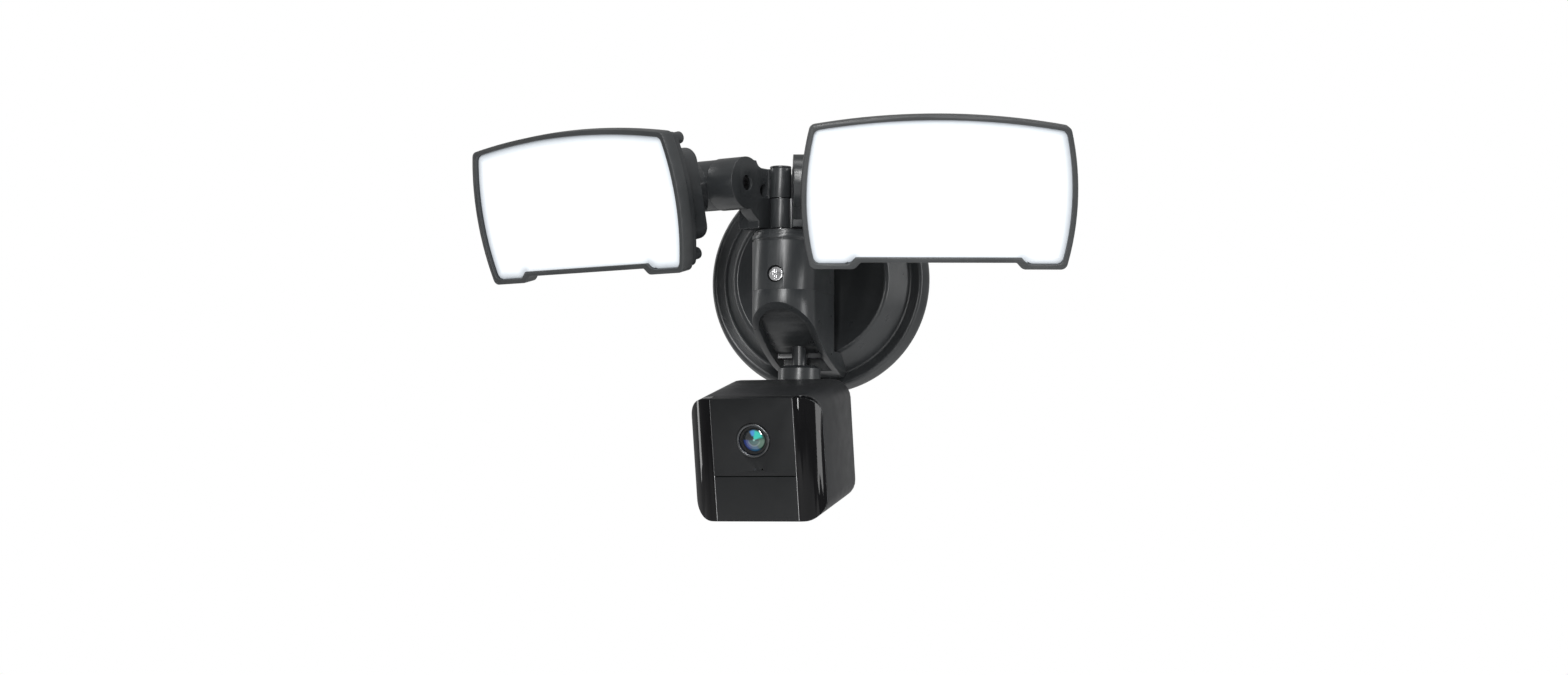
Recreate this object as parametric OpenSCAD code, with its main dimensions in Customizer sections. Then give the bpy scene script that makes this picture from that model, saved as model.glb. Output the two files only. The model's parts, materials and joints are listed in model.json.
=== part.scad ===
// Wall floodlight with two lamps on swinging arms and a camera head below.
// Origin: centre of the wall plate's back face. +X to the viewer's right, -Y forward, +Z up.

/* [Wall plate] */
// Radius of the round wall plate
plate_r = 62.5; // [56:0.5:75]
// Height of the plate's outer rim above the wall
rim_h = 9.6; // [8:0.1:12]
// Radius of the raised ring inside the rim
ring_r = 43; // [41:0.5:46]
// Height of the raised ring
ring_h = 20.5; // [18:0.5:24]
// Height of the plate's flat middle
floor_h = 11; // [10:0.5:13]
// Wall of the moulded plate
plate_wall = 2.5; // [2:0.1:3]

/* [Column] */
// Radius of the column's round front, and half its width
col_r = 17.2; // [16:0.1:21]
// Distance from the wall to the axis of the round front
col_d = 67.8; // [64:0.5:80]
// Distance from the wall to the column's flat back
col_back = 32.8; // [32:0.2:34]
// Height of the joint between the column and its cap
cap_z = 15.4; // [15:0.2:20]
// Thickness of the cap
cap_h = 6; // [5:0.2:8]
// Height of the joint between the column and its hood
split_z = -10.6; // [-12:0.2:-10]
// Wall of the column's mouldings
col_wall = 3.2; // [2.6:0.1:3.6]
// Radius of the column screw's shank
screw_r = 2.4; // [2:0.1:2.6]

/* [Arms] */
// Distance from the wall to the hub's upright axis
hub_d = 74.7; // [74:0.1:77]
// Outer radius of the hub's knuckles
hub_r = 5.65; // [5.5:0.05:5.8]
// Radius of the upright hub post
post_r = 3; // [2.4:0.1:3.4]
// Height of the hub's two knuckles together
hub_len = 31.8; // [28:0.2:36]
// Angle that each arm is swung outward at rest
arm_yaw = 18.8; // [10:0.2:24]
// Distance from the hub axis to the arm's flat inner face
arm_in = 6; // [6:0.1:6.6]
// Distance from the hub axis to the lamp's tilt axis
tilt_n = 21.4; // [20:0.2:24]
// Height of the lamp's tilt axis
tilt_z = 45; // [44:0.2:47]
// Radius of the arm's barrel
barrel_r = 13.8; // [13:0.1:15]
// Distance from the hub axis to the barrel's outer end
barrel_end = 22.6; // [21:0.2:24]

/* [Lamps] */
// Width of the lamp's window
lamp_w = 134; // [116:1:138]
// Height of the lamp's window
lamp_h = 69.4; // [62:0.2:76]
// Downward tilt of the lamps at rest
lamp_pitch = 14.6; // [5:0.2:25]
// Distance from the hub axis to the lamp's middle
lamp_mid = 78; // [78:0.5:90]
// Distance from the tilt axis to the window
window_m = 55; // [50:0.5:60]
// Thickness of the lamp's front frame
frame_t = 2.6; // [2:0.1:3.4]
// Depth of the lamp's side wall
side_depth = 12; // [11:0.5:15]
// Depth of the raised box on the lamp's back
box_depth = 15; // [12:0.5:18]

/* [Camera] */
// Distance from the wall to the camera's upright pan axis
pan_d = 41; // [41:0.1:42.5]
// Height of the camera's tilt axis
head_z = -84.9; // [-88:0.2:-83]
// Downward tilt of the camera at rest
head_pitch = 11.6; // [5:0.2:20]
// Width of the camera
cam_w = 70.4; // [64:0.2:76]
// Height of the camera
cam_h = 63.8; // [58:0.2:68]
// Depth of the camera
cam_depth = 62; // [54:0.5:63]
// Distance from the tilt axis to the camera's front
cam_front = 80.5; // [80:0.1:84]
// Half width of the flat strip down the camera's front
strip_x = 22; // [19:0.2:24]
// Height of the lens above the camera's middle
lens_z = 10.2; // [8:0.2:12]
// Radius of the ring around the lens
lens_r = 9; // [8:0.1:9.6]
// Radius of the tilt pin
pin_r = 3; // [2.4:0.1:3.4]

/* [Fits] */
// Gap between pieces that move past each other
move_gap = 0.4; // [0.3:0.05:0.6]
// Radial clearance of a shaft in its bore
run_gap = 0.05; // [0.02:0.01:0.09]

/* [Hidden] */
$fn = 64;
eps = 0.01;

shell = [0.17, 0.18, 0.19];
light_shell = [0.25, 0.27, 0.28];
glow = [0.95, 0.95, 0.92];
steel = [0.75, 0.75, 0.77];
board = [0.1, 0.35, 0.2];
black = [0.05, 0.05, 0.06];

hub_z0 = cap_z + cap_h + 0.8;
hub_z1 = hub_z0 + hub_len;
hub_mid = (hub_z0 + hub_z1) / 2;
col_front = col_d + col_r;
screw_z = -2.5;
tip_r = screw_r - 0.5;
rim_slot_r = 54;
rim_slot_h = 7;
bowl_r = 19;
wire_r = 9;
neck_x = 9;
neck_z = 14;
bracket_t = 2;
bracket_half = 52;
slot_pitch = 89;
slot_r = 2.3;
slot_len = 10;
cavity_x = col_r - col_wall - 0.3;
roof_z = split_z - 3.4;
hood_rear_z = -41;
tail_z = hood_rear_z - 3.4;
stem_r = 11.5;
stem_top = tail_z - 4.6;
spindle_r = 4;
nut_r = 6.2;
boss_r = 8.5;
boss_top = split_z - 7;
tongue_half = 7;
yoke_in = tongue_half + move_gap;
yoke_out = 12.6;
yoke_r = 10;
arm_thick = barrel_end - arm_in;
arm_rear = 3;
arm_foot_n = 11.2;
bolt_r = 3.6;
boss_in = barrel_end + move_gap;
knuckle_r = 13.4;
knuckle_end = boss_in + 25;
knuckle_mid = (boss_in + knuckle_end) / 2;
body_m = window_m - side_depth;
box_m = body_m - box_depth;
box_w = lamp_w - 8;
box_h = 48;
corner_x = lamp_w / 2 - 6.5;
corner_z = lamp_h / 2 - 4.5;
arch_r = 370;
arch_h = 3.4;
bow_r = 140;
foot_w = 21;
foot_h = 3.4;
slab = 9.2;
cam_r = 10;
face_t = 2.4;
cam_back = cam_front - cam_depth;
split_y = 8.4;

// Stands a profile of radius and height on the wall, with its axis forward.
module turned(points) rotate([90, 0, 0]) rotate_extrude($fn = 128) polygon(points);

// A cylinder along -Y from depth y0 to y1, at x and z.
module fore(r, y0, y1, x = 0, z = 0)
    translate([x, -y0, z]) rotate([90, 0, 0]) cylinder(r = r, h = y1 - y0);

// A cylinder along X from x0 to x1, at depth d and height z.
module across(r, x0, x1, d = 0, z = 0)
    translate([x0, -d, z]) rotate([0, 90, 0]) cylinder(r = r, h = x1 - x0);

// A block from its low and high corners, with depth counted forward.
module block(x0, x1, d0, d1, z0, z1)
    translate([x0, -d1, z0]) cube([x1 - x0, d1 - d0, z1 - z0]);

// Points of an arc from angle a0 to a1.
function arc(cx, cy, r, a0, a1, n = 8) =
    [for (i = [0:n]) [cx + r * cos(a0 + (a1 - a0) * i / n), cy + r * sin(a0 + (a1 - a0) * i / n)]];

// Outline of a rectangle with round corners, centred on the origin.
function round_rect(w, h, r, n = 6) = concat(
    arc(w / 2 - r, h / 2 - r, r, 0, 90, n), arc(r - w / 2, h / 2 - r, r, 90, 180, n),
    arc(r - w / 2, r - h / 2, r, 180, 270, n), arc(w / 2 - r, r - h / 2, r, 270, 360, n));

// ---- Wall plate ----
// Height of the bowl at radius r: flat in the middle, then rising to the ring.
function bowl(r) = floor_h + (ring_h - floor_h) * pow(max(0, r - bowl_r) / (ring_r - 1 - bowl_r), 2);

plate_top = concat([for (i = [0:8]) let (r = bowl_r + (ring_r - 1 - bowl_r) * i / 8) [r, bowl(r)]],
    [[ring_r, ring_h], [ring_r + 1.4, ring_h - 0.6], [rim_slot_r - 1, rim_slot_h],
    [rim_slot_r, rim_slot_h], [plate_r - 4.4, rim_h - 0.2], [plate_r - 3.3, rim_h],
    [plate_r - 2, rim_h - 0.8], [plate_r - 0.5, rim_h * 0.5], [plate_r, 3], [plate_r, 0]]);

module plate_solid() turned(concat([[0, -1], [0, floor_h]], plate_top, [[plate_r, -1]]));

module wall_plate() color(shell) turned(concat([[wire_r, floor_h]], plate_top,
    [[plate_r - plate_wall, 0], [plate_r - plate_wall, 3], [plate_r - 4.6, rim_h - 2.7],
    [rim_slot_r - 1, rim_slot_h - plate_wall], [ring_r + 0.6, ring_h - 4.6],
    [ring_r - 2, ring_h - 4.4], [ring_r - 9, bowl(ring_r - 9) - plate_wall],
    [ring_r - 16, bowl(ring_r - 16) - plate_wall], [bowl_r, floor_h - plate_wall],
    [wire_r, floor_h - plate_wall]]));

module wall_gasket() color(black) turned([[plate_r - plate_wall - 3.4, 0],
    [plate_r - plate_wall, 0], [plate_r - plate_wall, 2], [plate_r - plate_wall - 3.4, 2]]);

module slot(x) for (s = [-1, 1]) {
    fore(slot_r, -1, 3, x + s * (slot_len / 2 - slot_r));
    if (s > 0) block(x - slot_len / 2 + slot_r, x + slot_len / 2 - slot_r, -1, 3, -slot_r, slot_r);
}

module mounting_bracket() color(steel) difference() {
    union() {
        block(-bracket_half, bracket_half, 0, bracket_t, -10, 10);
        fore(5, bracket_t, bracket_t + 3, 0, screw_z);
    }
    for (s = [-1, 1]) slot(s * slot_pitch / 2);
    fore(tip_r, -1, bracket_t + 4, 0, screw_z);
    fore(1.8, -1, 3, 10);
}

module terminal_block() color(glow) difference() {
    block(-34, -14, bracket_t, 7.8, -5, 5);
    for (x = [-30, -24, -18]) fore(1.6, 4, 9, x, 0);
}

// ---- Column ----
// Plan of the column: a half round front on straight flanks, grown by g.
module column_plan(g = 0, back = col_back) {
    translate([0, -col_d]) circle(r = col_r + g, $fn = 128);
    translate([-col_r - g, -col_d]) square([2 * (col_r + g), col_d - back + g]);
}

module column_neck() color(shell) difference() {
    block(-neck_x, neck_x, floor_h, col_back, split_z + 0.2, neck_z);
    block(3.4, neck_x - 2, floor_h - 1, col_back + 1, split_z + 3, neck_z - 3);
    fore(screw_r + 0.3, 0, col_back + 1, 0, screw_z);
}

module column_body() color(shell) difference() {
    union() {
        translate([0, 0, split_z]) linear_extrude(cap_z - split_z) difference() {
            column_plan();
            column_plan(-col_wall);
        }
        fore(screw_r + 3.1, col_back + 1, col_front - 1, 0, screw_z);
    }
    fore(screw_r + 0.3, 0, col_front, 0, screw_z);
    fore(4.5, col_front - 9, col_front + 2, 0, screw_z);
    block(3.4, neck_x - 2, col_back - 1, col_back + col_wall + 1, split_z + 3, neck_z - 3);
}

module column_cap() color(shell) difference() {
    union() {
        translate([0, 0, cap_z]) linear_extrude(1.2) column_plan(-0.7);
        translate([0, 0, cap_z + 1.2]) linear_extrude(2.2) column_plan(-0.1);
        translate([0, 0, cap_z + 3.4]) linear_extrude(cap_h - 4.4) column_plan(-1);
        translate([0, 0, cap_z + cap_h - 1]) linear_extrude(1) column_plan(-2);
    }
    translate([0, -hub_d, cap_z - 1]) cylinder(r = post_r, h = cap_h + 2);
}

// Side view of the hood: depth and height of its outline below the split.
hood_front = [col_front, -17.4];
hood_end = [9.5, -54];
hood_sag = 7;
scoop = 5.5;
hood_chord = norm(hood_front - hood_end);
hood_curve_r = hood_chord * hood_chord / (8 * hood_sag) + hood_sag / 2;
hood_dir = (hood_end - hood_front) / hood_chord;
hood_centre = (hood_front + hood_end) / 2
    + (hood_curve_r - hood_sag) * [-hood_dir[1], hood_dir[0]] * -1;

module hood_side() intersection() {
    polygon([[col_back, split_z], [col_front + 1, split_z], [col_front + 1, -60], [4, -60],
        [4, hood_rear_z], [col_back, hood_rear_z]]);
    translate(hood_centre) circle(r = hood_curve_r, $fn = 256);
}

// Turns a side view of depth and height into a solid across the column.
module side_solid(half) rotate([90, 0, -90]) translate([0, 0, -half]) linear_extrude(2 * half)
    children();

module column_hood() color(shell) difference() {
    intersection() {
        side_solid(col_r + 2) hood_side();
        translate([0, 0, -70]) linear_extrude(70) column_plan(0, 4);
        rotate([90, 0, 0]) linear_extrude(120) polygon(concat(
            [[col_r + 2, 0], [-col_r - 2, 0]], arc(-col_r + 7, -49, 7, 180, 270),
            arc(col_r - 7, -49, 7, 270, 360)));
    }
    intersection() {
        translate([0, 0, -80]) linear_extrude(80 + roof_z) column_plan(-col_wall - 0.3, col_back);
        side_solid(col_r) difference() {
            translate(hood_centre) circle(r = hood_curve_r + 5, $fn = 256);
            translate(hood_centre) circle(r = hood_curve_r - scoop, $fn = 256);
        }
    }
    translate([0, 0, -80]) linear_extrude(80 + tail_z) column_plan(-col_wall - 0.3, col_back);
    translate([0, -pan_d, boss_top]) cylinder(r = nut_r + move_gap, h = split_z - boss_top + 1);
    block(-cavity_x, cavity_x, 25, col_back + 6, -70, tail_z);
    translate([0, -pan_d, -60]) cylinder(r = spindle_r + run_gap, h = 61 + boss_top);
    plate_solid();
}

module column_screw() color(steel) {
    fore(tip_r, 0.4, bracket_t + 3.2, 0, screw_z);
    fore(screw_r, bracket_t + 3.2, col_front - 9, 0, screw_z);
    difference() {
        fore(3.8, col_front - 9, col_front - 1.2, 0, screw_z);
        block(-2.4, 2.4, col_front - 3.2, col_front, screw_z - 0.5, screw_z + 0.5);
        block(-0.5, 0.5, col_front - 3.2, col_front, screw_z - 2.4, screw_z + 2.4);
    }
}

// The board lies just above the screw's boss.
board_z = screw_z + screw_r + 3.3;
module driver_board() color(board) block(-12.5, 12.5, 40, 70, board_z, board_z + 1.6);

module driver_coils() color([0.55, 0.35, 0.1]) {
    block(-10, 2, 44, 58, board_z + 1.6, board_z + 10.2);
    for (d = [45, 54, 63]) translate([8, -d, board_z + 1.6]) cylinder(r = 3.5, h = 8.6);
    block(-10, 0, 61, 68, board_z + 1.6, board_z + 6.8);
}

// ---- Hub and arms ----
module hub_post() color(steel) translate([0, -hub_d, cap_z + 0.5])
    cylinder(r = post_r, h = hub_z1 - move_gap - cap_z - 0.5);

module hub_cap() color(shell) translate([0, -hub_d, hub_z1]) cylinder(r = hub_r, h = 1.2);

// Puts a piece in the frame of an arm: X along the barrel, outward from the hub.
module on_arm(side) mirror([side < 0 ? 1 : 0, 0, 0])
    translate([0, -hub_d, 0]) rotate([0, 0, arm_yaw]) children();

// Puts a piece in the frame of a lamp, whose origin is on its tilt axis.
module on_lamp(side) on_arm(side) translate([0, -tilt_n, tilt_z]) rotate([lamp_pitch, 0, 0])
    children();

// Side view of the arm's plate: depth from the hub and height.
function arm_outline() = concat([[-arm_rear, hub_z0], [arm_foot_n, hub_z0],
    [arm_foot_n, hub_z0 + 3.7], [arm_foot_n + 5.6, hub_z0 + 7.2]],
    arc(tilt_n, tilt_z, barrel_r - 0.8, -100, 105, 24),
    arc(tilt_n - 13, hub_z1 + 5.4, 5.4, -20, -90, 6), [[-arm_rear, hub_z1]]);

module arm(side) difference() {
    z0 = side < 0 ? hub_mid + move_gap / 2 : hub_z0;
    union() {
        translate([arm_in, 0, 0]) rotate([90, 0, -90]) mirror([0, 0, 1]) linear_extrude(7)
            polygon(arm_outline());
        block(arm_in + 0.4, arm_in + arm_thick - 3, 1, arm_foot_n - 0.4, hub_z0, hub_z0 + 12);
        across(barrel_r, arm_in, barrel_end, tilt_n, tilt_z);
        translate([0, 0, z0]) cylinder(r = hub_r, h = hub_len / 2 - move_gap / 2);
        block(0, arm_in + 1, -3, 3, z0, z0 + hub_len / 2 - move_gap / 2);
    }
    translate([0, 0, hub_z0 - 1]) cylinder(r = post_r + run_gap, h = hub_len + 2);
    across(bolt_r + 0.4, arm_in - 1, arm_in + 4, tilt_n, tilt_z);
    across(bolt_r - 1.2 + run_gap, arm_in + 3, barrel_end + 1, tilt_n, tilt_z);
    across(3.4, arm_in - 1, arm_in + 5, 6.8, tilt_z - 3);
}

module left_arm() color(shell) on_arm(-1) arm(-1);
module right_arm() color(shell) on_arm(1) arm(1);

module tilt_bolt() {
    difference() {
        across(bolt_r, arm_in + 1.2, arm_in + 4, 0, 0);
        rotate([0, 90, 0]) translate([0, 0, arm_in]) cylinder(r = 2, h = 2.6, $fn = 6);
    }
    across(bolt_r - 1.2, arm_in + 4, knuckle_mid - 1, 0, 0);
}

module left_tilt_bolt() color(steel) on_lamp(-1) tilt_bolt();
module right_tilt_bolt() color(steel) on_lamp(1) tilt_bolt();

// The lamp's knuckle: a barrel on the tilt axis with a round boss towards the lamp.
module knuckle() difference() {
    union() {
        across(knuckle_r, boss_in, knuckle_end, 0, 0);
        fore(knuckle_r - 0.6, 5, box_m, knuckle_mid, 0);
    }
    across(bolt_r - 1.2 + run_gap, boss_in - 1, knuckle_mid, 0, 0);
    fore(4, 8, box_m + 1, knuckle_mid + 5, 0);
}

module left_knuckle() color(light_shell) on_lamp(-1) knuckle();
module right_knuckle() color(light_shell) on_lamp(1) knuckle();

// ---- Lamps ----
// Outline of the lamp's window, grown by g: arched top, bowed sides, and a bottom edge that steps
// down to a foot at each corner.
module lamp_outline(g = 0) translate([lamp_mid, 0]) offset(r = 3.5, $fn = 32)
    offset(delta = -3.5) difference() {
        w = lamp_w / 2 + g;
        h = lamp_h / 2 + g;
        intersection() {
            translate([-w, -h]) square([2 * w, 2 * h + 5]);
            translate([0, h + arch_h - arch_r]) circle(r = arch_r, $fn = 360);
            translate([w - bow_r, 0]) circle(r = bow_r, $fn = 180);
            translate([bow_r - w, 0]) circle(r = bow_r, $fn = 180);
        }
        foot_x = w - 2 * g - foot_w;
        polygon([[-foot_x, -h - 1], [4 - foot_x, foot_h - h], [foot_x - 4, foot_h - h],
            [foot_x, -h - 1]]);
    }

module lamp_slice(m0, m1) translate([0, -m0, 0]) rotate([90, 0, 0]) linear_extrude(m1 - m0)
    children();

module lamp_housing() difference() {
    union() {
        lamp_slice(body_m, window_m - 1) lamp_outline(1);
        lamp_slice(box_m, body_m) translate([lamp_mid, 0])
            polygon(round_rect(box_w, box_h, 7));
        for (s = [-1, 1]) for (t = [-1, 1])
            fore(3.2, body_m - 6, body_m + 2, lamp_mid + s * corner_x, t * corner_z);
    }
    lamp_slice(body_m + 2.4, window_m) lamp_outline(-1.6);
    lamp_slice(window_m - 3, window_m) lamp_outline(0);
    lamp_slice(box_m + 2.4, body_m + 3) translate([lamp_mid, 0])
        polygon(round_rect(box_w - 5, box_h - 5, 5));
    fore(4, box_m - 1, box_m + 3, knuckle_mid + 5, 0);
}

module left_lamp_housing() color(shell) on_lamp(-1) lamp_housing();
module right_lamp_housing() color(shell) on_lamp(1) lamp_housing();

module bezel() difference() {
    union() {
        lamp_slice(window_m - 1, window_m + 1.6) lamp_outline(frame_t);
        lamp_slice(window_m - 7, window_m - 1) difference() {
            lamp_outline(frame_t);
            lamp_outline(1.05);
        }
    }
    lamp_slice(window_m - 2, window_m + 3) lamp_outline(0);
}

module left_bezel() color(light_shell) on_lamp(-1) bezel();
module right_bezel() color(light_shell) on_lamp(1) bezel();

module diffuser() lamp_slice(window_m - 3, window_m + 0.6) lamp_outline(-0.1);
module left_diffuser() color(glow) on_lamp(-1) diffuser();
module right_diffuser() color(glow) on_lamp(1) diffuser();

module led_board() lamp_slice(body_m + 4.4, body_m + 6) translate([lamp_mid, 0])
    square([lamp_w - 24, lamp_h - 18], center = true);
module left_led_board() color(glow) on_lamp(-1) led_board();
module right_led_board() color(glow) on_lamp(1) led_board();

module leds() for (i = [-4:4]) for (j = [-1:1])
    block(lamp_mid + 11 * i - 1.4, lamp_mid + 11 * i + 1.4, body_m + 6, body_m + 6.8,
        15 * j - 1.4, 15 * j + 1.4);
module left_leds() color([0.9, 0.85, 0.4]) on_lamp(-1) leds();
module right_leds() color([0.9, 0.85, 0.4]) on_lamp(1) leds();

module heat_spreader() lamp_slice(body_m + 2.4, body_m + 4.4) translate([lamp_mid, 0])
    square([lamp_w - 18, lamp_h - 14], center = true);
module left_heat_spreader() color(steel) on_lamp(-1) heat_spreader();
module right_heat_spreader() color(steel) on_lamp(1) heat_spreader();

module bezel_screws() for (s = [-1, 1]) for (t = [-1, 1])
    fore(2, body_m - 7.2, body_m - 6, lamp_mid + s * corner_x, t * corner_z);
module left_bezel_screws() color(steel) on_lamp(-1) bezel_screws();
module right_bezel_screws() color(steel) on_lamp(1) bezel_screws();

// ---- Camera pan and tilt ----
module pan_stem() color(shell) difference() {
    union() {
        translate([0, -pan_d, head_z + 15]) cylinder(r = stem_r, h = stem_top - head_z - 16.5);
        translate([0, -pan_d, stem_top - 1.5]) cylinder(r1 = stem_r, r2 = stem_r - 2.5, h = 1.5);
        translate([0, -pan_d, stem_top - 1]) cylinder(r = spindle_r, h = boss_top + 5.4 - stem_top);
        block(-tongue_half, tongue_half, pan_d - 9, pan_d + 9, head_z, head_z + 16);
        across(9, -tongue_half, tongue_half, pan_d, head_z);
    }
    across(pin_r + run_gap, -20, 20, pan_d, head_z);
}

module pan_nut() color(steel) translate([0, -pan_d, boss_top + 0.3]) difference() {
    cylinder(r = nut_r, h = 3.6);
    translate([0, 0, -1]) cylinder(r = spindle_r, h = 6);
}

// Puts a piece in the camera's frame, whose origin is on its tilt axis.
module on_head() translate([0, -pan_d, head_z]) rotate([head_pitch, 0, 0]) children();

module tilt_yoke() color(shell) on_head() difference() {
    union() {
        for (s = [0, 1]) mirror([s, 0, 0]) {
            across(yoke_r, yoke_in, yoke_out, 0, 0);
            block(yoke_in, yoke_out, 0, cam_back - 4, -9, 9);
        }
        block(-yoke_out, yoke_out, cam_back - 7, cam_back, -10, 10);
    }
    across(pin_r, -20, 20, 0, 0);
}

module tilt_pin() color(steel) on_head() {
    across(pin_r, -yoke_out, yoke_out, 0, 0);
    for (s = [0, 1]) mirror([s, 0, 0]) across(5, yoke_out, yoke_out + 1.8, 0, 0);
}

// ---- Camera ----
module head_slice(f0, f1) translate([0, -f0, 0]) rotate([90, 0, 0]) linear_extrude(f1 - f0)
    children();

module cam_outline(g = 0) polygon(round_rect(cam_w + 2 * g, cam_h + 2 * g, cam_r + g));

// Plan of the front cover: a flat strip that rolls back at both sides.
side_w = cam_w / 2 - strip_x;
module front_plan(g = 0) polygon(concat([[-cam_w / 2 - 1, 4], [-cam_w / 2 - 1, split_y]],
    [for (i = [0:10]) let (t = 1 - i / 10) [-strip_x - side_w * t + g, g + (split_y - g) * t * t]],
    [for (i = [0:10]) let (t = i / 10) [strip_x + side_w * t - g, g + (split_y - g) * t * t]],
    [[cam_w / 2 + 1, split_y], [cam_w / 2 + 1, 4 + 20], [-cam_w / 2 - 1, 4 + 20]]));

// The part of the cover that lies behind its rolled face, cut to the camera's outline.
module cover_solid(g = 0) intersection() {
    head_slice(cam_front - split_y, cam_front) cam_outline(g);
    translate([0, -cam_front, -50]) linear_extrude(100) front_plan(-g);
}

module camera_body() color(shell) on_head() difference() {
    head_slice(cam_back, cam_front - split_y - 1) cam_outline();
    head_slice(cam_back + 3, cam_front - split_y) cam_outline(-2.8);
    across(0.9, -cam_w, -cam_w / 2 + 5, cam_back + 20, -6);
    translate([15, -cam_back - 30, -cam_h / 2 - 1]) cylinder(r = 2.1, h = 6);
}

// Everything between two heights and two widths of the cover.
module cover_zone(x0, x1, z0, z1) intersection() {
    cover_solid();
    block(x0, x1, 0, cam_front + 5, z0, z1);
}

seam_z = -8.4;
groove = 0.25;

module camera_front() color(shell) on_head() difference() {
    union() {
        cover_zone(-strip_x, strip_x, seam_z + groove, cam_h);
        head_slice(cam_front - split_y - 1, cam_front - split_y) cam_outline(-0.8);
    }
    head_slice(cam_front - split_y - 2, cam_front - face_t) difference() {
        square([2 * strip_x - 4, cam_h - 6], center = true);
        translate([-50, seam_z - 9]) square([100, 10]);
    }
    fore(lens_r, cam_front - 20, cam_front + 1, 0, lens_z);
    fore(0.8, cam_front - 20, cam_front + 1, 0, lens_z - 15);
    fore(0.5, cam_front - 20, cam_front + 1, 4, lens_z - 15);
}

module side_strips() color(black) on_head() {
    cover_zone(-cam_w, -strip_x - groove, -cam_h, cam_h);
    cover_zone(strip_x + groove, cam_w, -cam_h, cam_h);
}

module pir_window() color(shell) on_head() difference() {
    cover_zone(-strip_x, strip_x, -cam_h, seam_z - groove);
    head_slice(cam_front - split_y, cam_front - face_t)
        translate([-strip_x + 4, -cam_h / 2 + 5]) square([2 * strip_x - 8, 14]);
}

module pir_sensor() color(steel) on_head() {
    fore(4.6, cam_front - split_y, cam_front - face_t - 1, 0, -cam_h / 2 + 12);
}

module lens_ring() color(steel) on_head() difference() {
    fore(lens_r, cam_front - 5, cam_front + 0.8, 0, lens_z);
    fore(lens_r - 2, cam_front - 6, cam_front + 2, 0, lens_z);
}

module lens_glass() color(black) on_head()
    fore(lens_r - 2, cam_front - 3, cam_front - 0.4, 0, lens_z);

module lens_barrel() color(black) on_head() difference() {
    fore(6.5, cam_front - 18, cam_front - 3, 0, lens_z);
    fore(4.5, cam_front - 16, cam_front - 2, 0, lens_z);
}

module sensor_board() color(board) on_head()
    block(-13, 13, cam_front - 19.4, cam_front - 18, lens_z - 11, lens_z + 11);

module main_board() color(board) on_head() difference() {
    block(-28, 28, cam_back + 14, cam_back + 15.6, -25, 25);
    fore(1.6, 0, 80, 22, 20);
    fore(1.6, 0, 80, -22, -20);
}

module speaker() color(black) on_head() difference() {
    fore(13, cam_back + 5, cam_back + 12, -8, -10);
    fore(9, cam_back + 3, cam_back + 6, -8, -10);
}

module microphone() color(steel) on_head()
    fore(1.8, cam_front - face_t - 2, cam_front - face_t, 4, lens_z - 15);

module status_light() color([0.3, 0.6, 0.9]) on_head()
    fore(0.8, cam_front - face_t - 1, cam_front - 0.2, 0, lens_z - 15);

module reset_button() color(black) on_head()
    translate([15, -cam_back - 30, -cam_h / 2 - 0.4]) {
        cylinder(r = 2.05, h = 3.6);
        translate([0, 0, 4.6]) cylinder(r = 3, h = 1);
        cylinder(r = 1.4, h = 5);
    }

wall_plate();
wall_gasket();
mounting_bracket();
terminal_block();
column_neck();
column_body();
column_cap();
column_hood();
column_screw();
driver_board();
driver_coils();
hub_post();
hub_cap();
left_arm();
right_arm();
left_tilt_bolt();
right_tilt_bolt();
left_knuckle();
right_knuckle();
left_lamp_housing();
right_lamp_housing();
left_bezel();
right_bezel();
left_diffuser();
right_diffuser();
left_led_board();
right_led_board();
left_leds();
right_leds();
left_heat_spreader();
right_heat_spreader();
left_bezel_screws();
right_bezel_screws();
pan_stem();
pan_nut();
tilt_yoke();
tilt_pin();
camera_body();
camera_front();
side_strips();
pir_window();
pir_sensor();
lens_ring();
lens_glass();
lens_barrel();
sensor_board();
main_board();
speaker();
microphone();
status_light();
reset_button();
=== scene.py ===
"""Looks of the wall floodlight with a camera head: surfaces, finishes, lights and the view."""
import json
import math
import bmesh
import bpy
import numpy as np
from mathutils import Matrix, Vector


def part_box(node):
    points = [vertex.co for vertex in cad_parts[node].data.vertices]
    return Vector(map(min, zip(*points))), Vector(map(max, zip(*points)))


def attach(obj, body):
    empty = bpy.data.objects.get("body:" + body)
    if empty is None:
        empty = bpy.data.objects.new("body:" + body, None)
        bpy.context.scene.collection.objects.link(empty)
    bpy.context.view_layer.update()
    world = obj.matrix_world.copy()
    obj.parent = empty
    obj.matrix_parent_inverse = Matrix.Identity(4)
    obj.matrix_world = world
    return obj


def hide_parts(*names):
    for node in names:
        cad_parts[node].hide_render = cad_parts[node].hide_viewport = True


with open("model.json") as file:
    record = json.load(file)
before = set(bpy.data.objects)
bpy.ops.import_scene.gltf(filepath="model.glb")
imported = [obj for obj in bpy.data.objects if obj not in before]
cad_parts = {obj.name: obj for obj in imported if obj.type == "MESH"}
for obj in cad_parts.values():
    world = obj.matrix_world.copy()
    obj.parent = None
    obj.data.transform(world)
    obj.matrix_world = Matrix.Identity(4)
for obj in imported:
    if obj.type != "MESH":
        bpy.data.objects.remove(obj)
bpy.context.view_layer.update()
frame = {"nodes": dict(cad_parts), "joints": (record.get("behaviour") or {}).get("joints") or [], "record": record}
MM = 0.001
JOINTS = {j["name"]: j for j in frame["joints"]}


# ---------------------------------------------------------------- shader groups

def socket_list(tree, names_in, names_out):
    """Gives a node group its named inputs and outputs."""
    for name, kind, value in names_in:
        made = tree.interface.new_socket(name=name, in_out="INPUT", socket_type=kind)
        made.default_value = value
    for name, kind in names_out:
        tree.interface.new_socket(name=name, in_out="OUTPUT", socket_type=kind)
    return tree.nodes.new("NodeGroupInput"), tree.nodes.new("NodeGroupOutput")


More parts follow.
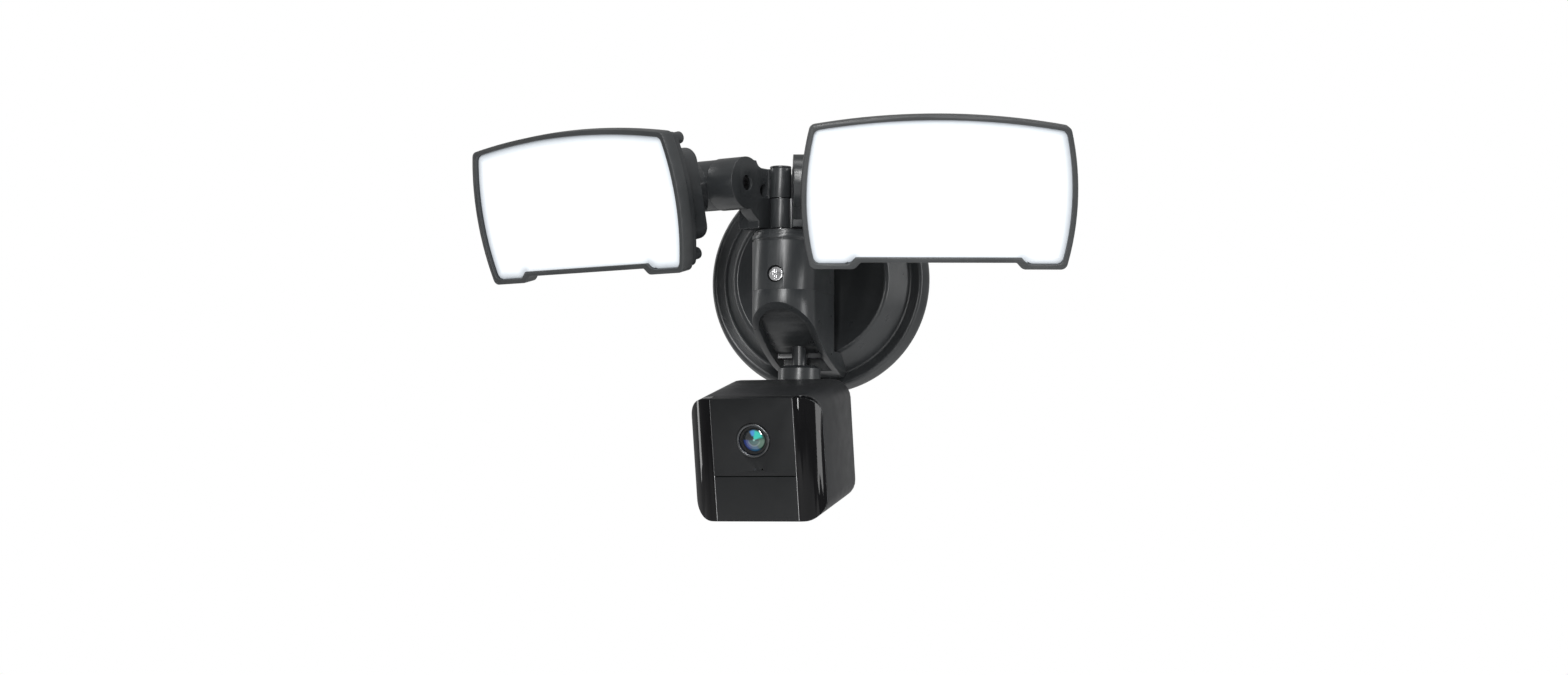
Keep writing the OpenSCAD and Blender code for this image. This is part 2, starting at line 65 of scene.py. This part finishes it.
def noise(tree, scale, detail, place):
    """A noise texture at a scale given per metre."""
    made = tree.nodes.new("ShaderNodeTexNoise")
    made.inputs["Scale"].default_value = scale
    made.inputs["Detail"].default_value = detail
    tree.links.new(place, made.inputs["Vector"])
    return made


def spread(tree, value, low, high):
    """Maps a noise of about 0.3 to 0.7 onto low to high."""
    made = tree.nodes.new("ShaderNodeMapRange")
    made.inputs["From Min"].default_value = 0.3
    made.inputs["From Max"].default_value = 0.7
    for name, end in (("To Min", low), ("To Max", high)):
        if isinstance(end, (int, float)):
            made.inputs[name].default_value = end
        else:
            tree.links.new(end, made.inputs[name])
    tree.links.new(value, made.inputs["Value"])
    return made.outputs["Result"]


def moulded_surface():
    """Spark-eroded plastic: fine pits in the height, with slow drifts of tone and gloss."""
    tree = bpy.data.node_groups.new("moulded_surface", "ShaderNodeTree")
    inp, out = socket_list(
        tree,
        [("Dark", "NodeSocketColor", (0.03, 0.03, 0.03, 1)),
         ("Light", "NodeSocketColor", (0.05, 0.05, 0.05, 1)),
         ("Gloss Low", "NodeSocketFloat", 0.3), ("Gloss High", "NodeSocketFloat", 0.45),
         ("Pit Depth", "NodeSocketFloat", 0.1), ("Pit Scale", "NodeSocketFloat", 2600.0)],
        [("Color", "NodeSocketColor"), ("Roughness", "NodeSocketFloat"),
         ("Normal", "NodeSocketVector")])
    place = tree.nodes.new("ShaderNodeTexCoord").outputs["Object"]
    link = tree.links.new
    drift = noise(tree, 38.0, 3.0, place)
    smudge = noise(tree, 120.0, 5.0, place)
    pits = noise(tree, 2600.0, 2.0, place)
    link(inp.outputs["Pit Scale"], pits.inputs["Scale"])
    mix = tree.nodes.new("ShaderNodeMix")
    mix.data_type = "RGBA"
    link(spread(tree, drift.outputs["Fac"], 0.0, 1.0), mix.inputs["Factor"])
    link(inp.outputs["Dark"], mix.inputs["A"])
    link(inp.outputs["Light"], mix.inputs["B"])
    link(mix.outputs["Result"], out.inputs["Color"])
    gloss = spread(tree, smudge.outputs["Fac"], inp.outputs["Gloss Low"],
                   inp.outputs["Gloss High"])
    link(gloss, out.inputs["Roughness"])
    bump = tree.nodes.new("ShaderNodeBump")
    bump.inputs["Distance"].default_value = 0.00012
    link(inp.outputs["Pit Depth"], bump.inputs["Strength"])
    link(pits.outputs["Fac"], bump.inputs["Height"])
    link(bump.outputs["Normal"], out.inputs["Normal"])
    return tree


def brushed_surface():
    """Turned or brushed metal: long scratches across one axis, in gloss and in height."""
    tree = bpy.data.node_groups.new("brushed_surface", "ShaderNodeTree")
    inp, out = socket_list(
        tree,
        [("Dark", "NodeSocketColor", (0.4, 0.4, 0.4, 1)),
         ("Light", "NodeSocketColor", (0.6, 0.6, 0.6, 1)),
         ("Gloss Low", "NodeSocketFloat", 0.2), ("Gloss High", "NodeSocketFloat", 0.35)],
        [("Color", "NodeSocketColor"), ("Roughness", "NodeSocketFloat"),
         ("Normal", "NodeSocketVector")])
    coord = tree.nodes.new("ShaderNodeTexCoord").outputs["Object"]
    stretch = tree.nodes.new("ShaderNodeMapping")
    stretch.inputs["Scale"].default_value = (1.0, 1.0, 14.0)
    tree.links.new(coord, stretch.inputs["Vector"])
    lines = noise(tree, 900.0, 4.0, stretch.outputs["Vector"])
    cloud = noise(tree, 140.0, 3.0, coord)
    link = tree.links.new
    mix = tree.nodes.new("ShaderNodeMix")
    mix.data_type = "RGBA"
    link(spread(tree, cloud.outputs["Fac"], 0.0, 1.0), mix.inputs["Factor"])
    link(inp.outputs["Dark"], mix.inputs["A"])
    link(inp.outputs["Light"], mix.inputs["B"])
    link(mix.outputs["Result"], out.inputs["Color"])
    link(spread(tree, lines.outputs["Fac"], inp.outputs["Gloss Low"],
                inp.outputs["Gloss High"]), out.inputs["Roughness"])
    bump = tree.nodes.new("ShaderNodeBump")
    bump.inputs["Distance"].default_value = 0.00004
    bump.inputs["Strength"].default_value = 0.35
    link(lines.outputs["Fac"], bump.inputs["Height"])
    link(bump.outputs["Normal"], out.inputs["Normal"])
    return tree


MOULDED = moulded_surface()
BRUSHED = brushed_surface()


# ---------------------------------------------------------------- finishes

def finish_of(name, group, dark, light, gloss, **more):
    """A Principled material whose colour, roughness and normal come from a shared group."""
    made = bpy.data.materials.new(name)
    made.use_nodes = True
    tree = made.node_tree
    shader = tree.nodes["Principled BSDF"]
    effect = tree.nodes.new("ShaderNodeGroup")
    effect.node_tree = group
    effect.inputs["Dark"].default_value = (*dark, 1)
    effect.inputs["Light"].default_value = (*light, 1)
    effect.inputs["Gloss Low"].default_value, effect.inputs["Gloss High"].default_value = gloss
    for key, value in more.pop("effect", {}).items():
        effect.inputs[key].default_value = value
    for out, into in (("Color", "Base Color"), ("Roughness", "Roughness"), ("Normal", "Normal")):
        tree.links.new(effect.outputs[out], shader.inputs[into])
    for key, value in more.items():
        shader.inputs[key.replace("_", " ").title().replace("Ior", "IOR")].default_value = value
    made.diffuse_color = (*light, 1)
    return made


def plastic(name, dark, light, gloss, depth=0.12, scale=2600.0, **more):
    """A moulded plastic."""
    return finish_of(name, MOULDED, dark, light, gloss,
                     effect={"Pit Depth": depth, "Pit Scale": scale}, **more)


def metal(name, dark, light, gloss):
    """A bare metal."""
    return finish_of(name, BRUSHED, dark, light, gloss, metallic=1.0)


def diffuser_painted_glow_and_shade():
    """Milky plastic with a painted glow: brightest in the middle, with painted shade dimmer and bluer by the
    frame.
    """
    made = plastic("diffuser_painted_glow_and_shade", (0.38, 0.4, 0.42), (0.42, 0.44, 0.455), (0.34, 0.44), 0.05)
    tree = made.node_tree
    shader = tree.nodes["Principled BSDF"]
    # Painted glow and painted shade: the emission is brightest in the middle and dims, turning bluer, towards the
    # frame, by the distance from it.
    glow = tree.nodes.new("ShaderNodeAttribute")
    glow.attribute_name = "edge_distance"
    ramp = tree.nodes.new("ShaderNodeValToRGB")
    stops = ramp.color_ramp.elements
    stops[0].position, stops[0].color = 0.0, (0.15, 0.165, 0.185, 1)
    stops[1].position, stops[1].color = 1.0, (1, 1, 1, 1)
    for place, colour in ((0.14, (0.28, 0.305, 0.335, 1)), (0.34, (0.54, 0.57, 0.6, 1)),
                          (0.66, (0.88, 0.9, 0.93, 1))):
        stops.new(place).color = colour
    tree.links.new(glow.outputs["Fac"], ramp.inputs["Fac"])
    tree.links.new(ramp.outputs["Color"], shader.inputs["Emission Color"])
    # The strength of the painted glow that makes the window white.
    shader.inputs["Emission Strength"].default_value = 0.9
    return made


def painted_reflection_glass():
    """Dark lens glass with painted reflections of its coating: glowing patches of aqua, blue and green."""
    made = finish_of("painted_reflection_glass", MOULDED, (0.004, 0.006, 0.008), (0.007, 0.01, 0.013),
                     (0.02, 0.05), effect={"Pit Depth": 0.0}, coat_weight=1.0, ior=1.6)
    tree = made.node_tree
    shader = tree.nodes["Principled BSDF"]
    # Painted reflections: the coating's colours glow from a colour stored on each point.
    coating_reflection = tree.nodes.new("ShaderNodeAttribute")
    coating_reflection.attribute_name = "coating_reflection"
    tree.links.new(coating_reflection.outputs["Color"], shader.inputs["Emission Color"])
    shader.inputs["Emission Strength"].default_value = 0.9
    return made


FINISH = {
    "housing_grey": plastic("housing_grey", (0.02, 0.022, 0.0235), (0.03, 0.0325, 0.0345),
                            (0.27, 0.36)),
    "bezel_grey": plastic("bezel_grey", (0.028, 0.0305, 0.032), (0.04, 0.0425, 0.044),
                          (0.32, 0.42)),
    "camera_shell": plastic("camera_shell", (0.013, 0.014, 0.015), (0.019, 0.02, 0.0215),
                            (0.34, 0.44), 0.18, specular_ior_level=0.4),
    "front_panel": plastic("front_panel", (0.0055, 0.0062, 0.0068), (0.0085, 0.0092, 0.01),
                           (0.4, 0.5), 0.16, specular_ior_level=0.25),
    "sensor_window": plastic("sensor_window", (0.007, 0.0077, 0.0084), (0.01, 0.0108, 0.0116),
                             (0.36, 0.44), 0.16, specular_ior_level=0.28),
    "gloss_black": plastic("gloss_black", (0.0015, 0.0015, 0.002), (0.003, 0.003, 0.0035),
                           (0.03, 0.07), 0.02, specular_ior_level=0.22),
    "diffuser": diffuser_painted_glow_and_shade(),
    "lens_trim": metal("lens_trim", (0.07, 0.072, 0.075), (0.12, 0.123, 0.128), (0.24, 0.34)),
    "lens_glass": painted_reflection_glass(),
    "inner_black": plastic("inner_black", (0.006, 0.006, 0.006), (0.01, 0.01, 0.01),
                           (0.5, 0.7)),
    "screw_steel": metal("screw_steel", (0.52, 0.52, 0.53), (0.68, 0.68, 0.69), (0.16, 0.3)),
    "dark_steel": metal("dark_steel", (0.04, 0.04, 0.042), (0.07, 0.07, 0.073), (0.3, 0.45)),
    "zinc_steel": metal("zinc_steel", (0.42, 0.43, 0.45), (0.6, 0.61, 0.63), (0.3, 0.45)),
    "spreader_alu": metal("spreader_alu", (0.6, 0.6, 0.62), (0.75, 0.75, 0.77), (0.3, 0.42)),
    "rubber_black": plastic("rubber_black", (0.012, 0.012, 0.012), (0.022, 0.022, 0.022),
                            (0.62, 0.78), 0.3, 1500.0),
    "nylon_white": plastic("nylon_white", (0.7, 0.69, 0.65), (0.8, 0.79, 0.75), (0.4, 0.5)),
    "circuit_board": plastic("circuit_board", (0.01, 0.08, 0.03), (0.02, 0.12, 0.05),
                             (0.25, 0.35), 0.3, 700.0),
    "led_board": plastic("led_board", (0.78, 0.78, 0.77), (0.86, 0.86, 0.85), (0.3, 0.4)),
    "led_chips": plastic("led_chips", (0.75, 0.62, 0.15), (0.85, 0.75, 0.25), (0.2, 0.3)),
    "coil_parts": plastic("coil_parts", (0.16, 0.08, 0.02), (0.28, 0.15, 0.05), (0.3, 0.5),
                          0.5, 900.0),
    "status_light": plastic("status_light", (0.004, 0.005, 0.008), (0.008, 0.01, 0.014),
                            (0.1, 0.2)),
}
SLOT_OF = {p["node"]: p["material_slot"] for p in frame["record"]["subparts"]}
BODY_OF = {n: b for b, nodes in frame["record"]["behaviour"]["bodies"].items() for n in nodes}


def dress(obj, slot):
    """Gives every slot of a piece one finish."""
    obj.data.materials.clear()
    obj.data.materials.append(FINISH[slot])


for node_name, node_object in frame["nodes"].items():
    dress(node_object, SLOT_OF[node_name])


# ---------------------------------------------------------------- pieces from CAD shapes

ROLL_SEGMENTS = 3
ROLL_ANGLE = math.radians(32)
FLAT_ANGLE = math.radians(0.6)
MERGE_GAP = 0.01 * MM


def softened(node, width):
    """A CAD node's own shape with its edges rolled: doubles merged, then a bevel at each edge."""
    mesh = frame["nodes"][node].data.copy()
    mesh.name = node + "_rolled"
    mesh.polygons.foreach_set("use_smooth", np.ones(len(mesh.polygons), dtype=bool))
    piece = bpy.data.objects.new(node + "_rolled", mesh)
    bpy.context.scene.collection.objects.link(piece)
    weld = piece.modifiers.new("weld", "WELD")
    weld.merge_threshold = MERGE_GAP
    flat = piece.modifiers.new("flat", "DECIMATE")
    flat.decimate_type = "DISSOLVE"
    flat.angle_limit = FLAT_ANGLE
    roll = piece.modifiers.new("roll", "BEVEL")
    roll.width = width * MM
    roll.segments = ROLL_SEGMENTS
    roll.limit_method = "ANGLE"
    roll.angle_limit = ROLL_ANGLE
    roll.harden_normals = True
    dress(piece, SLOT_OF[node])
    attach(piece, BODY_OF[node])
    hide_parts(node)


# How far each piece has its edges rolled, in mm.
ROLLED = {
    "column_body": 0.5, "column_cap": 0.35, "column_hood": 0.35, "column_neck": 0.6,
    "left_arm": 0.6, "right_arm": 0.6, "left_knuckle": 0.7, "right_knuckle": 0.7,
    "left_lamp_housing": 0.9, "right_lamp_housing": 0.9, "left_bezel": 0.5, "right_bezel": 0.5,
    "pan_stem": 0.6, "tilt_yoke": 0.9, "camera_body": 0.4, "camera_front": 0.25,
    "side_strips": 0.25, "pir_window": 0.25, "tilt_pin": 0.4,
    "column_screw": 0.2, "hub_cap": 0.35, "pan_nut": 0.4,
    "mounting_bracket": 0.3, "terminal_block": 0.4, "reset_button": 0.2,
}
for rolled_node, rolled_width in ROLLED.items():
    softened(rolled_node, rolled_width)


# ---------------------------------------------------------------- new surfaces

SHARP_ANGLE = math.radians(38)
ACROSS = np.array((1.0, 0, 0))
UP = np.array(JOINTS["reset_press"]["axis"])
AHEAD = np.cross(ACROSS, UP)


def skin(name, rings, slot, node, hollow=False):
    """A closed surface through rings of points: quads between neighbours, with a fan at each
    end, or, when hollow, with the last ring joined to the first."""
    rows, around = rings.shape[:2]
    index = np.arange(rows * around).reshape(rows, around)
    if hollow:
        index = np.append(index, index[:1], axis=0)
    after = np.roll(index, -1, axis=1)
    faces = np.stack([index[:-1], after[:-1], after[1:], index[1:]], axis=-1).reshape(-1, 4)
    faces, points = faces.tolist(), rings.reshape(-1, 3)
    if not hollow:
        tips = rows * around + np.arange(2)
        faces += np.stack([after[0], index[0], np.full(around, tips[0])], axis=-1).tolist()
        faces += np.stack([index[-1], after[-1], np.full(around, tips[1])], axis=-1).tolist()
        points = np.concatenate([points, rings[0].mean(axis=0)[None],
                                 rings[-1].mean(axis=0)[None]])
    mesh = bpy.data.meshes.new(name)
    mesh.from_pydata(points.tolist(), [], faces)
    mesh.polygons.foreach_set("use_smooth", np.ones(len(mesh.polygons), dtype=bool))
    tidy = bmesh.new()
    tidy.from_mesh(mesh)
    bmesh.ops.recalc_face_normals(tidy, faces=tidy.faces)
    tidy.to_mesh(mesh)
    tidy.free()
    mesh.set_sharp_from_angle(angle=SHARP_ANGLE)
    piece = bpy.data.objects.new(name, mesh)
    bpy.context.scene.collection.objects.link(piece)
    dress(piece, slot)
    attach(piece, BODY_OF[node])
    return piece


def arc(cx, cy, radius, start, end, count=6):
    """Points of an arc about cx, cy from start to end in degrees."""
    a = np.radians(np.linspace(start, end, count))
    return np.stack([cx + radius * np.cos(a), cy + radius * np.sin(a)], axis=-1)


def rolled(points, radius, steps=5):
    """A closed outline whose corners are quadratic curves: (1-t)^2 start + 2t(1-t) corner +
    t^2 end, with start and end a radius from the corner, or less on a short side."""
    points = np.asarray(points, dtype=float)
    back, on = np.roll(points, 1, axis=0) - points, np.roll(points, -1, axis=0) - points
    back_run, on_run = (np.linalg.norm(way, axis=1)[:, None] for way in (back, on))
    reach = np.minimum(radius, 0.4 * np.minimum(back_run, on_run))
    start, end = points + back / back_run * reach, points + on / on_run * reach
    t = np.linspace(0, 1, steps)[:, None, None]
    curve = (1 - t) ** 2 * start + 2 * t * (1 - t) * points + t ** 2 * end
    return curve.transpose(1, 0, 2).reshape(-1, 2)


def turned_rings(centre, axis, profile, around=96):
    """A profile of radius r and height h, in mm, turned about an axis a with u and v square to
    it: centre + h a + r (u cos t + v sin t)."""
    axis = np.array(axis) / np.linalg.norm(axis)
    u = np.cross(axis, (1.0, 0.0, 0.0) if abs(axis[0]) < 0.9 else (0.0, 0.0, 1.0))
    u /= np.linalg.norm(u)
    v = np.cross(axis, u)
    t = np.linspace(0, 2 * np.pi, around, endpoint=False)
    wheel = u * np.cos(t)[:, None] + v * np.sin(t)[:, None]
    r, h = (np.asarray(profile) * MM).T[:, :, None, None]
    return np.asarray(centre) + r * wheel + h * axis


def broad_face(node, toward):
    """Normal of a CAD node's largest flat side that looks toward a direction."""
    mesh = frame["nodes"][node].data
    normal = np.empty(len(mesh.polygons) * 3)
    area = np.empty(len(mesh.polygons))
    mesh.polygons.foreach_get("normal", normal)
    mesh.polygons.foreach_get("area", area)
    normal = normal.reshape(-1, 3)
    area[normal @ np.array(toward) < 0.5] = 0
    return normal[area.argmax()]


def corners_of(mesh):
    """Every vertex of a mesh, one row each."""
    points = np.empty(len(mesh.vertices) * 3)
    mesh.vertices.foreach_get("co", points)
    return points.reshape(-1, 3)


def front_ring(node, normal, count=224):
    """The outline of a CAD node's front face, as points spaced evenly along it."""
    points = np.unique(corners_of(frame["nodes"][node].data).round(6), axis=0)
    height = points @ normal
    points = points[height > height.max() - 0.05 * MM]
    middle = (points.min(axis=0) + points.max(axis=0)) / 2
    across = np.cross(normal, (0, 0, 1.0))
    across /= np.linalg.norm(across)
    up = np.cross(across, normal)
    order = np.argsort(np.arctan2((points - middle) @ up, (points - middle) @ across))
    loop = points[np.append(order, order[0])]
    run = np.append(0, np.cumsum(np.linalg.norm(np.diff(loop, axis=0), axis=1)))
    spots = np.linspace(0, run[-1], count, endpoint=False)
    return np.stack([np.interp(spots, run, loop[:, k]) for k in range(3)], axis=-1)


def edge_gap(points, ring, between=5, batches=24):
    """Each point's distance to a closed outline, whose sides are first cut into shorter ones."""
    steps = np.arange(between)[:, None, None] / between
    border = (ring + (np.roll(ring, -1, axis=0) - ring) * steps).reshape(-1, 3)
    return np.concatenate([np.linalg.norm(some[:, None] - border, axis=2).min(axis=1)
                           for some in np.array_split(points, batches)])


def diffuser(side):
    """Milky window: its outline shrinks to the middle while the sheet swells by a quarter sine."""
    node = side + "_diffuser"
    depth, swell, edge_r, edge_shade_width = 3.6 * MM, 0.9 * MM, 0.5 * MM, 9 * MM
    edge_share, last_share = 0.02, 0.97
    normal = broad_face(node, (0, -1, 0))
    ring = front_ring(node, normal)
    middle = ring.mean(axis=0)
    t = np.concatenate([[0, 0.002, 0.006, 0.012], np.linspace(edge_share, last_share, 26)])
    edge = (np.sqrt(np.clip(t / edge_share, 0, 1)) - 1) * edge_r
    lift = edge + np.sin(t * np.pi / 2) * swell
    rings = middle + (ring - middle) * (1 - t)[:, None, None] + normal * lift[:, None, None]
    rings = np.concatenate([(ring - normal * depth)[None], rings])
    piece = skin(node + "_sheet", rings - normal * swell, "diffuser", node)
    # Distance from the frame, over which the painted glow fades into painted shade by the frame.
    values = piece.data.attributes.new("edge_distance", "FLOAT", "POINT")
    gap = edge_gap(corners_of(piece.data), ring)
    values.data.foreach_set("value", np.clip(gap / edge_shade_width, 0, 1))
    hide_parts(node)


def wall_dish():
    """The plate on the wall, a thin profile turned about the wall's normal. Past its flat
    middle the bowl's height rises with the square of the radius."""
    wire_r, flat_r, bowl_r, outer_r = 9, 19, 42, 62.5
    floor_h, rise, wall, foot_h, corner_r = 11, 9.5, 2.5, 0.02, 0.9

    def bowl(r):
        return floor_h + rise * (max(0, r - flat_r) / (bowl_r - flat_r)) ** 2

    ring = [(43, 20.5), (44.4, 19.9)]
    slot = [(53, 7.1), (54, 7)]
    rim = [(58.1, 9.35), (59.2, 9.55), (60.5, 8.8), (62, 4.8), (outer_r, 3), (outer_r, foot_h)]
    front = [(wire_r, floor_h)] + [(r, bowl(r)) for r in np.linspace(flat_r, bowl_r, 12)]
    front += ring + slot + rim
    rear = [(outer_r - wall, foot_h), (outer_r - wall, 3), (57.9, 6.9), (53, 4.5), (43.6, 15.9),
            (41, 16.1)]
    rear += [(r, bowl(r) - wall) for r in (34, 30, 27, 23, flat_r)]
    rear += [(wire_r, floor_h - wall)]
    rings = turned_rings((0, 0, 0), (0, -1, 0), rolled(front + rear, corner_r), 160)
    piece = skin("wall_dish", rings, "housing_grey", "wall_plate", hollow=True)
    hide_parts("wall_plate")


def middle_of(node):
    """Middle of a CAD node's box."""
    low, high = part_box(node)
    return (np.array(low) + np.array(high)) / 2


def soft_step(low, high, value):
    """Runs smoothly from 0 at low to 1 at high."""
    t = np.clip((value - low) / (high - low), 0, 1)
    return t * t * (3 - 2 * t)


# Painted reflections of the coating, as patches, later ones over earlier ones: colour, angles from and to in
# degrees, distances from and to as shares of the glass, and how softly the angles fade. The last two are a painted
# highlight on the inner ring and a painted glint in the middle.
PAINTED_REFLECTIONS = (
    ((0.018, 0.035, 0.17), -200, -110, 0.45, 0.95, 14),
    ((0.012, 0.075, 0.16), -112, -62, 0.5, 0.97, 14),
    ((0.014, 0.1, 0.05), -58, 12, 0.4, 0.88, 14),
    ((0.03, 0.62, 0.5), 18, 96, 0.1, 0.78, 14),
    ((0.06, 0.3, 0.72), 84, 116, 0.36, 0.8, 9),
    ((0.02, 0.09, 0.085), -180, -10, 0.06, 0.42, 14),
    ((0.2, 0.27, 0.27), -170, -15, 0.47, 0.53, 18),
    ((0.5, 0.9, 0.85), -200, 200, -1, 0.05, 14),
)


def paint_reflections(piece, middle, radius):
    """Paints the coating's reflections on the glass, as patches by angle and distance from its middle."""
    points = (corners_of(piece.data) - middle) / (radius * MM)
    x, y = points @ ACROSS, points @ UP
    reach, turn = np.hypot(x, y), np.degrees(np.arctan2(y, x))
    colour = np.full((len(points), 3), 0.008)
    for shade, turn_low, turn_high, low, high, fade in PAINTED_REFLECTIONS:
        mask = (soft_step(turn_low - fade, turn_low + fade, turn)
                * (1 - soft_step(turn_high - fade, turn_high + fade, turn))
                * soft_step(low - 0.07, low + 0.07, reach)
                * (1 - soft_step(high - 0.09, high + 0.09, reach)))[:, None]
        colour = colour * (1 - mask) + np.array(shade) * mask
    values = piece.data.attributes.new("coating_reflection", "FLOAT_COLOR", "POINT")
    values.data.foreach_set("color", np.insert(colour, 3, 1.0, axis=1).ravel())


def lens():
    """The camera's eye: a rolled satin ring, a stepped black baffle, and a domed glass with painted reflections of
    its coating.
    Each is a profile of radius and height turned about the direction it looks in."""
    half_ring, root, glass_r, glass_z, glass_h = 2.9, -5.8, 6.15, -3.7, 1.5
    front = middle_of("lens_ring") + AHEAD * half_ring * MM
    ring = np.concatenate([[(8.86, root)], arc(8.16, -0.65, 0.7, 0, 90, 8),
                           arc(7.95, -0.5, 0.5, 90, 150),
                           [(7.3, -1.6), (7.15, -2.2), (7.15, root)]])
    piece = skin("lens_ring_rolled", turned_rings(front, AHEAD, ring, 128), "lens_trim",
                 "lens_ring")
    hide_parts("lens_ring")
    steps = [(7.1, -5.5), (7.1, -1.5)]
    for k in range(3):
        steps += [(6.85 - 0.28 * k, -1.5 - 0.45 * k), (6.75 - 0.28 * k, -1.95 - 0.45 * k)]
    steps += [(5.95, -3.4), (5.9, -5.5)]
    skin("lens_baffle", turned_rings(front, AHEAD, steps), "inner_black", "lens_ring")
    a = np.linspace(np.pi / 2, 0.012, 44)
    cap = np.stack([glass_r * np.sin(a), glass_z + glass_h * np.cos(a)], axis=-1)
    dome = np.concatenate([[(glass_r, glass_z - 0.9)], cap])
    piece = skin("lens_dome", turned_rings(front, AHEAD, dome, 120), "lens_glass", "lens_glass")
    paint_reflections(piece, front, glass_r)
    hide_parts("lens_glass")


def bead(name, path, radius, slot, closed=False, around=10):
    """A thin rounded bead: path + radius (side cos t + out sin t), with side and out square to
    the path."""
    ahead = np.roll(path, -1, axis=0) - np.roll(path, 1, axis=0)
    if not closed:
        ahead[0], ahead[-1] = path[1] - path[0], path[-1] - path[-2]
    ahead /= np.linalg.norm(ahead, axis=1)[:, None]
    side = np.cross(ahead, UP * 0.02 + (0.0, 1.0, 0.0))
    side /= np.linalg.norm(side, axis=1)[:, None]
    out = np.cross(side, ahead)
    t = np.linspace(0, 2 * np.pi, around, endpoint=False)
    rings = path[:, None] + radius * MM * (side[:, None] * np.cos(t)[:, None]
                                           + out[:, None] * np.sin(t)[:, None])
    skin(name, rings, slot, "camera_body", hollow=closed)


def cover_highlight_beads():
    """Painted highlights on the camera's cover, made as metal beads: one along each upright seam, one around its
    edge.
    The cover rolls back past each seam by the square of the distance from it."""
    seam_x, seam_half, side_w, roll_back, cover_front = 22, 31.5, 13.2, 8.4, 80.5
    corner_x, corner_z, corner_r = 25.05, 21.75, 10

    def on_cover(x, z, inset):
        back = roll_back * (np.maximum(0, np.abs(x) - seam_x) / side_w) ** 2
        x, z, depth = (v[..., None] * MM for v in (x, z, cover_front - inset - back))
        return np.array(JOINTS["camera_tilt"]["pos_m"]) + ACROSS * x + AHEAD * depth + UP * z

    z = np.linspace(-seam_half, seam_half, 12)
    # Painted highlights: bright steel beads along the upright seams.
    for name, sign in (("left", -1), ("right", 1)):
        bead("seam_highlight_bead_" + name, on_cover(z * 0 + sign * seam_x, z, 0.2), 0.2, "screw_steel")
    turns = [arc(sx * corner_x, sz * corner_z, corner_r, start, start + 90, 14)
             for sx, sz, start in ((1, 1, 0), (-1, 1, 90), (-1, -1, 180), (1, -1, 270))]
    straights = [np.linspace(turn[-1], following[0], 12, endpoint=False)[1:]
                 for turn, following in zip(turns, turns[1:] + turns[:1])]
    edge = np.concatenate([part for pair in zip(turns, straights) for part in pair])
    # Painted highlight: a dark metal bead along the cover's rolled edge.
    bead("edge_highlight_bead", on_cover(edge[:, 0], edge[:, 1], 0.25), 0.18, "lens_trim", closed=True)


for side_name in ("left", "right"):
    diffuser(side_name)
cover_highlight_beads()
wall_dish()
lens()


# ---------------------------------------------------------------- floor, lights and view

def stage_floor():
    """A plain pale floor well below the wall light."""
    half, height = 4.0, -0.62
    mesh = bpy.data.meshes.new("floor")
    mesh.from_pydata([(-half, -half, height), (half, -half, height),
                      (half, half, height), (-half, half, height)], [], [(0, 1, 2, 3)])
    floor = bpy.data.objects.new("floor", mesh)
    bpy.context.scene.collection.objects.link(floor)
    made = plastic("pale_floor", (0.8, 0.8, 0.8), (0.84, 0.84, 0.84), (0.6, 0.7), 0.02, 300.0)
    floor.data.materials.append(made)


def soft_light(name, place, target, width, height, power):
    """A soft rectangular studio light."""
    data = bpy.data.lights.new(name, "AREA")
    data.shape = "RECTANGLE"
    data.size, data.size_y = width, height
    data.energy = power
    light = bpy.data.objects.new(name, data)
    bpy.context.scene.collection.objects.link(light)
    light.location = place
    light.rotation_mode = "QUATERNION"
    light.rotation_quaternion = (Vector(target) - Vector(place)).to_track_quat("-Z", "Y")


def studio():
    """Surroundings seen white but lighting the object dimly, with a bright front strip, two
    side strips and a top panel."""
    world = bpy.data.worlds.new("studio")
    bpy.context.scene.world = world
    world.use_nodes = True
    tree = world.node_tree
    seen = tree.nodes["Background"]
    seen.inputs["Strength"].default_value = 1.0
    dim = tree.nodes.new("ShaderNodeBackground")
    for back in (seen, dim):
        back.inputs["Color"].default_value = (1, 1, 1, 1)
    dim.inputs["Strength"].default_value = 0.36
    pick = tree.nodes.new("ShaderNodeMixShader")
    rays = tree.nodes.new("ShaderNodeLightPath")
    tree.links.new(rays.outputs["Is Camera Ray"], pick.inputs[0])
    tree.links.new(dim.outputs[0], pick.inputs[1])
    tree.links.new(seen.outputs[0], pick.inputs[2])
    tree.links.new(pick.outputs[0], tree.nodes["World Output"].inputs["Surface"])
    middle = (0, -0.06, 0)
    soft_light("front_strip", (0.25, -1.5, 0.4), middle, 0.12, 1.1, 18)
    soft_light("left_strip", (-1.3, 0.1, 0.3), middle, 0.2, 1.4, 5)
    soft_light("right_strip", (1.4, -0.25, 0.25), middle, 0.3, 1.4, 10)
    soft_light("top_panel", (0.2, -0.3, 1.5), middle, 1.2, 0.5, 8)
    bpy.context.scene.view_settings.view_transform = "Standard"


def place_camera():
    """The view: to the right of the object, a little below, looking slightly up."""
    azimuth, elevation, distance = math.radians(16.505), math.radians(-4.84), 1.4424
    turn, lift = azimuth + math.radians(0.818), elevation + math.radians(1.233)
    data = bpy.data.cameras.new("view")
    data.sensor_width = 36.0
    data.lens = 59.476
    data.clip_start, data.clip_end = 0.01, 50
    camera = bpy.data.objects.new("view", data)
    bpy.context.scene.collection.objects.link(camera)
    camera.location = distance * Vector((math.sin(azimuth) * math.cos(elevation),
                                         -math.cos(azimuth) * math.cos(elevation),
                                         math.sin(elevation)))
    back = Vector((math.sin(turn) * math.cos(lift), -math.cos(turn) * math.cos(lift),
                   math.sin(lift)))
    camera.rotation_mode = "QUATERNION"
    camera.rotation_quaternion = (-back).to_track_quat("-Z", "Y")
    bpy.context.scene.camera = camera


stage_floor()
studio()
place_camera()
